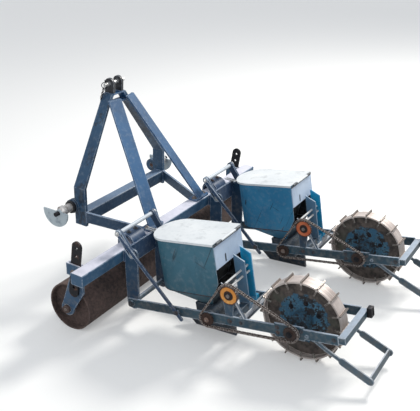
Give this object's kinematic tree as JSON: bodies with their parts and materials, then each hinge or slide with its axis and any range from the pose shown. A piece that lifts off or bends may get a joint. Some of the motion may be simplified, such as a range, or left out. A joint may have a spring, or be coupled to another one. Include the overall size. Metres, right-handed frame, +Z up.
{
  "type": "precision seeder",
  "caption": "Mounted precision seeder with a three-point headstock, a box toolbar on a steel drum roller, and row units with a D-shaped hopper, chain drive, lugged drive wheel and drag loop.",
  "frame": {"origin": "on the ground below the middle of the machine's length and width", "axes": "+X to the rear, +Y to the machine's right, +Z up"},
  "size_m": [1.7434, 1.55, 1.0497],
  "materials": {
    "blue_paint": "worn gloss paint",
    "teal_paint": "worn gloss paint",
    "bright_blue_paint": "worn gloss paint",
    "cyan_paint": "worn gloss paint",
    "pale_paint": "satin",
    "lid_grey": "satin",
    "black_paint": "matte",
    "black_steel": "matte",
    "bare_steel": "worn",
    "worn_steel": "worn",
    "chain_steel": "oily",
    "wheel_steel": "worn bright",
    "rusty_steel": "rusty",
    "dark_cast": "matte",
    "orange_plastic": "faded"
  },
  "bodies": {
    "frame": {"brace_left": "blue_paint", "brace_right": "blue_paint", "carrier_left_left": "blue_paint", "carrier_left_right": "blue_paint", "carrier_right_left": "blue_paint", "carrier_right_right": "blue_paint", "chain_left": "chain_steel", "chain_right": "chain_steel", "cross_beam": "blue_paint", "depth_bar_left": "black_steel", "depth_bar_right": "black_steel", "drum_arm_left": "blue_paint", "drum_arm_right": "blue_paint", "hitch_ball_left": "black_steel", "hitch_ball_right": "black_steel", "hitch_pin_left": "bare_steel", "hitch_pin_right": "bare_steel", "hopper_left": "teal_paint", "hopper_right": "bright_blue_paint", "idler_stand_left": "cyan_paint", "idler_stand_right": "cyan_paint", "leg_left": "blue_paint", "leg_right": "blue_paint", "link_arms_left": "blue_paint", "link_arms_right": "blue_paint", "lug_left": "black_paint", "lug_right": "black_paint", "mast_pin": "bare_steel", "rail_left_left": "blue_paint", "rail_left_right": "blue_paint", "rail_right_left": "blue_paint", "rail_right_right": "blue_paint", "rear_bar_left": "blue_paint", "rear_bar_right": "blue_paint", "rear_panel_left": "pale_paint", "rear_panel_right": "pale_paint", "saddle_left": "blue_paint", "saddle_right": "blue_paint", "scraper_left": "worn_steel", "scraper_right": "worn_steel", "seed_housing_left": "dark_cast", "seed_housing_right": "dark_cast", "side_arm_left": "blue_paint", "side_arm_right": "blue_paint", "stay_left": "blue_paint", "stay_right": "blue_paint", "tie_plate": "blue_paint", "toolbar": "blue_paint"},
    "drum": {"drum": "rusty_steel"},
    "wheel_left": {"wheel_left": "wheel_steel"},
    "idler_left": {"idler_left": "orange_plastic"},
    "seed_shaft_left": {"seed_shaft_left": "worn_steel"},
    "lid_left": {"lid_left": "lid_grey"},
    "drag_loop_left": {"drag_loop_left": "blue_paint"},
    "wheel_right": {"wheel_right": "wheel_steel"},
    "idler_right": {"idler_right": "orange_plastic"},
    "seed_shaft_right": {"seed_shaft_right": "worn_steel"},
    "lid_right": {"lid_right": "lid_grey"},
    "drag_loop_right": {"drag_loop_right": "blue_paint"}
  },
  "joints": [
    {"name": "drum_spin", "type": "hinge", "parent": "frame", "child": "drum", "pos_m": [-0.53955, 0, 0.12], "axis": [0, 1, 0], "continuous": true},
    {"name": "wheel_left_spin", "type": "hinge", "parent": "frame", "child": "wheel_left", "pos_m": [0.51848, -0.375, 0.194], "axis": [0, 1, 0], "continuous": true},
    {"name": "idler_left_spin", "type": "hinge", "parent": "frame", "child": "idler_left", "pos_m": [0.23292, -0.518, 0.29858], "axis": [0, 1, 0], "continuous": true},
    {"name": "seed_shaft_left_spin", "type": "hinge", "parent": "frame", "child": "seed_shaft_left", "pos_m": [0.11881, -0.375, 0.15078], "axis": [0, 1, 0], "continuous": true},
    {"name": "lid_left_hinge", "type": "hinge", "parent": "frame", "child": "lid_left", "pos_m": [0.15574, -0.375, 0.50562], "axis": [0, 1, 0], "range_deg": [0, 100]},
    {"name": "drag_loop_left_hinge", "type": "hinge", "parent": "frame", "child": "drag_loop_left", "pos_m": [0.58773, -0.375, 0.19528], "axis": [0, -1, 0], "range_deg": [-8, 16]},
    {"name": "wheel_right_spin", "type": "hinge", "parent": "frame", "child": "wheel_right", "pos_m": [0.51848, 0.375, 0.194], "axis": [0, 1, 0], "continuous": true},
    {"name": "idler_right_spin", "type": "hinge", "parent": "frame", "child": "idler_right", "pos_m": [0.23292, 0.232, 0.29858], "axis": [0, 1, 0], "continuous": true},
    {"name": "seed_shaft_right_spin", "type": "hinge", "parent": "frame", "child": "seed_shaft_right", "pos_m": [0.11881, 0.375, 0.15078], "axis": [0, 1, 0], "continuous": true},
    {"name": "lid_right_hinge", "type": "hinge", "parent": "frame", "child": "lid_right", "pos_m": [0.15574, 0.375, 0.50562], "axis": [0, 1, 0], "range_deg": [0, 100]},
    {"name": "drag_loop_right_hinge", "type": "hinge", "parent": "frame", "child": "drag_loop_right", "pos_m": [0.58773, 0.375, 0.19528], "axis": [0, -1, 0], "range_deg": [-8, 16]}
  ],
  "couplings": [
    {"joint": "idler_left_spin", "follows": "wheel_left_spin", "ratio": 0.68889},
    {"joint": "seed_shaft_left_spin", "follows": "wheel_left_spin", "ratio": 1},
    {"joint": "idler_right_spin", "follows": "wheel_right_spin", "ratio": 0.68889},
    {"joint": "seed_shaft_right_spin", "follows": "wheel_right_spin", "ratio": 1}
  ]
}
